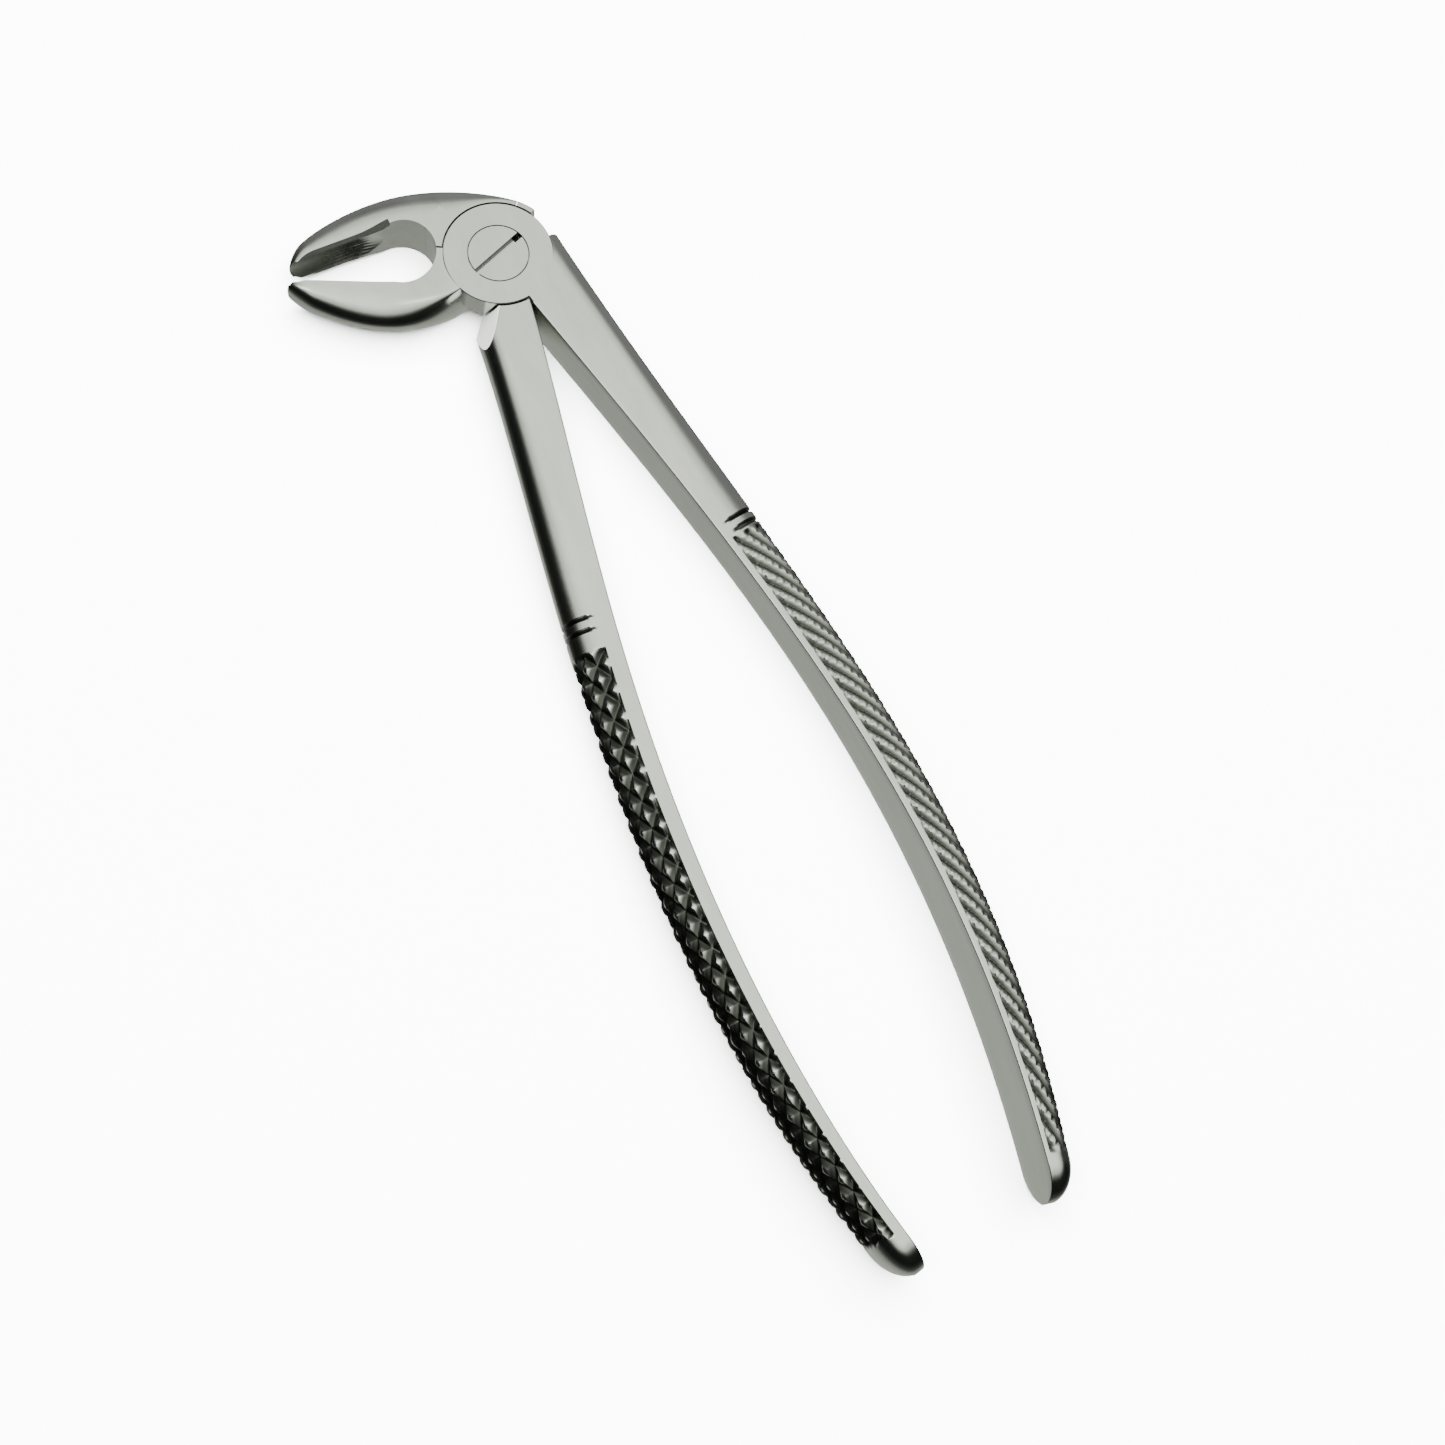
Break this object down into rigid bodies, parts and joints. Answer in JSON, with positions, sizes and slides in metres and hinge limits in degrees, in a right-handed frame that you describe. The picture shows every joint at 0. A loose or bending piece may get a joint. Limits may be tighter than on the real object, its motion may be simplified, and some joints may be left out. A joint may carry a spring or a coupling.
{
  "type": "extraction forceps",
  "caption": "Dental extraction forceps with bent beaks; two levers crossing at a slotted pivot screw open a round throat for gripping a tooth.",
  "frame": {"origin": "on the pivot axis, in the flat rear face of the joint", "axes": "+Z along the pivot axis out of the front side that carries the screw head, handles along -Y, beaks towards -X"},
  "size_m": [0.0533, 0.174, 0.014],
  "materials": {
    "front_steel": "satin brushed stainless steel",
    "rear_steel": "satin brushed stainless steel",
    "screw_steel": "fine turned stainless steel"
  },
  "bodies": {
    "rear_lever": {"rear_half": "rear_steel", "pivot_screw": "screw_steel"},
    "front_lever": {"front_half": "front_steel"}
  },
  "joints": [
    {"name": "pivot", "type": "hinge", "parent": "rear_lever", "child": "front_lever", "pos_m": [0, 0, 0.0045], "axis": [0, 0, 1], "range_deg": [0, 18]}
  ]
}
